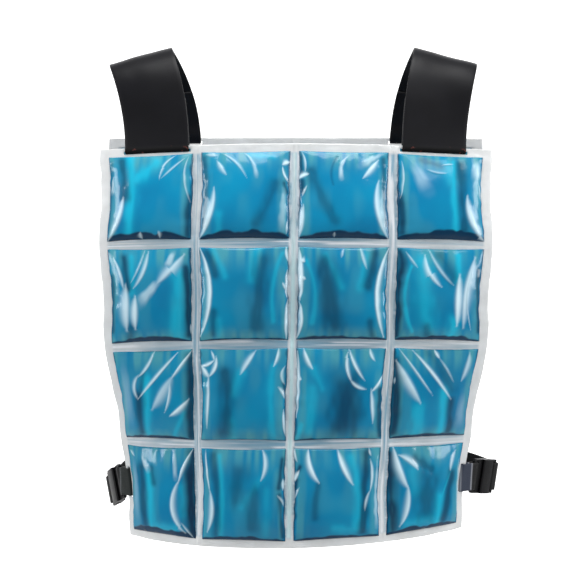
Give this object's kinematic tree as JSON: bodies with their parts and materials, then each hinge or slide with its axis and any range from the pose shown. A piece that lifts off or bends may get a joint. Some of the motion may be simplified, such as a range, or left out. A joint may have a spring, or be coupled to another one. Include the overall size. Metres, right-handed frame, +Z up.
{
  "type": "cooling vest",
  "caption": "Open cooling vest of two clear film panels welded into a grid of blue liquid pouches, with wide black shoulder straps and short buckled side belts.",
  "frame": {"origin": "midway between the tops of the two shoulder straps, at the height where they sit on the shoulders", "axes": "+Z up, the front panel faces -Y, +X is to the right of someone who looks at the front"},
  "size_m": [0.4188, 0.2356, 0.5142],
  "materials": {
    "film": "clear milky welded film",
    "liquid": "glossy clear film over blue liquid",
    "strap": "smooth satin",
    "webbing": "woven",
    "buckle": "gloss"
  },
  "bodies": {
    "root": {"front_film": "film", "back_film": "film", "front_pouch_r1_c1": "liquid", "front_pouch_r1_c2": "liquid", "front_pouch_r1_c3": "liquid", "front_pouch_r1_c4": "liquid", "front_pouch_r2_c1": "liquid", "front_pouch_r2_c2": "liquid", "front_pouch_r2_c3": "liquid", "front_pouch_r2_c4": "liquid", "front_pouch_r3_c1": "liquid", "front_pouch_r3_c2": "liquid", "front_pouch_r3_c3": "liquid", "front_pouch_r3_c4": "liquid", "front_pouch_r4_c1": "liquid", "front_pouch_r4_c2": "liquid", "front_pouch_r4_c3": "liquid", "front_pouch_r4_c4": "liquid", "back_pouch_r1_c1": "liquid", "back_pouch_r1_c2": "liquid", "back_pouch_r1_c3": "liquid", "back_pouch_r1_c4": "liquid", "back_pouch_r2_c1": "liquid", "back_pouch_r2_c2": "liquid", "back_pouch_r2_c3": "liquid", "back_pouch_r2_c4": "liquid", "back_pouch_r3_c1": "liquid", "back_pouch_r3_c2": "liquid", "back_pouch_r3_c3": "liquid", "back_pouch_r3_c4": "liquid", "back_pouch_r4_c1": "liquid", "back_pouch_r4_c2": "liquid", "back_pouch_r4_c3": "liquid", "back_pouch_r4_c4": "liquid", "left_shoulder_strap": "strap", "left_front_web": "webbing", "left_back_web": "webbing", "left_buckle_plug": "buckle", "left_buckle_socket": "buckle", "right_shoulder_strap": "strap", "right_front_web": "webbing", "right_back_web": "webbing", "right_buckle_plug": "buckle", "right_buckle_socket": "buckle"}
  },
  "joints": []
}
